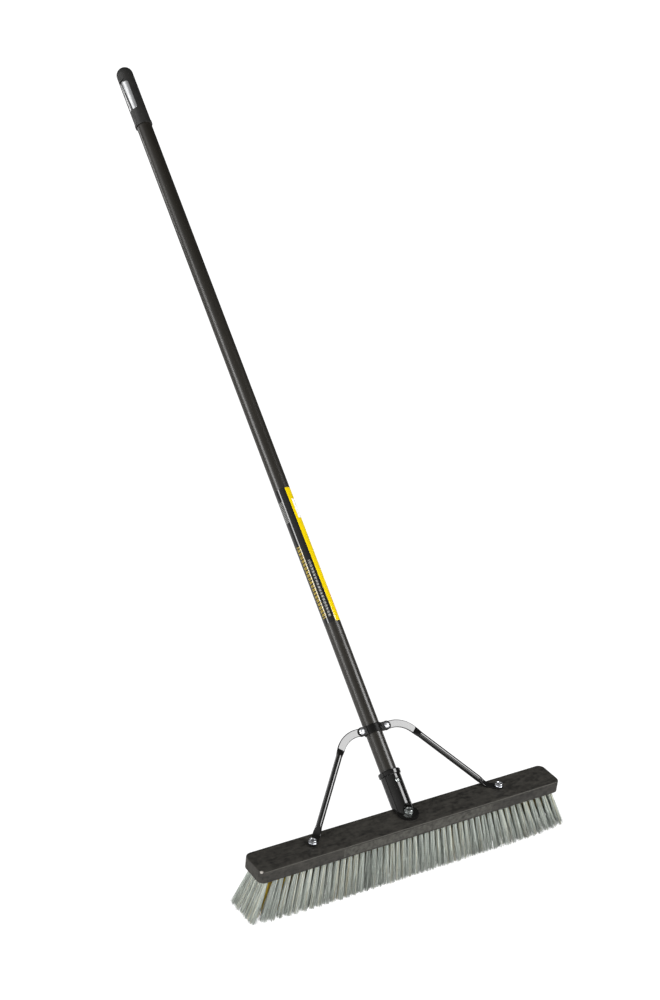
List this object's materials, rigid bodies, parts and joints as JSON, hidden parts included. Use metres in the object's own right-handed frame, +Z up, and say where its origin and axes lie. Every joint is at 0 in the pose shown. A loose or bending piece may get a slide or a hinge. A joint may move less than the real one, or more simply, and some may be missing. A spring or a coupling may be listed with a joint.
{
  "type": "push broom",
  "caption": "Wide push broom: bristle head, angled socket with a braced long tube handle, and a fold-out hanger plate in the handle's cap.",
  "frame": {"origin": "on the floor, under the middle of the head, at the tip of the middle tuft", "axes": "+X along the head, +Y towards the side the handle leans to, +Z up"},
  "size_m": [0.6434, 1.2501, 1.0996],
  "materials": {
    "block": "charcoal brown moulded foam resin with a faint grain",
    "grey_bristle": "grey green synthetic bristle",
    "gold_bristle": "golden yellow stiff synthetic bristle",
    "staple_wire": "flat bright steel wire",
    "gloss_black": "gloss black paint",
    "tube_black": "satin black powder coat",
    "zinc": "bright zinc plating",
    "dark_zinc": "black zinc plating",
    "insert_brass": "turned brass",
    "bright_plate": "bright plated steel",
    "cap_black": "satin black moulded plastic",
    "label_print": "printed film wrap, black with a plain yellow panel"
  },
  "bodies": {
    "broom": {"head_block": "block", "tufts_front_row": "grey_bristle", "tufts_rear_row": "grey_bristle", "tufts_left_end": "grey_bristle", "tufts_right_end": "grey_bristle", "tufts_inner": "gold_bristle", "tuft_staples": "staple_wire", "socket": "gloss_black", "socket_bolt": "zinc", "socket_washer": "zinc", "socket_insert": "insert_brass", "handle_tube": "tube_black", "handle_screw": "zinc", "handle_label": "label_print", "clamp_front": "gloss_black", "clamp_rear": "gloss_black", "clamp_bolts": "zinc", "clamp_washers": "zinc", "clamp_nuts": "zinc", "brace_arm_left": "gloss_black", "brace_arm_right": "gloss_black", "brace_screws": "zinc", "brace_washers": "dark_zinc", "brace_inserts": "insert_brass", "cap": "cap_black", "hanger_pin": "zinc"},
    "hanger": {"hanger_plate": "bright_plate"}
  },
  "joints": [
    {"name": "hanger_fold", "type": "hinge", "parent": "broom", "child": "hanger", "pos_m": [-0.01294, 1.17756, 1.07384], "axis": [-0.2588, 0.6209, -0.7399], "range_deg": [0, 80]}
  ]
}
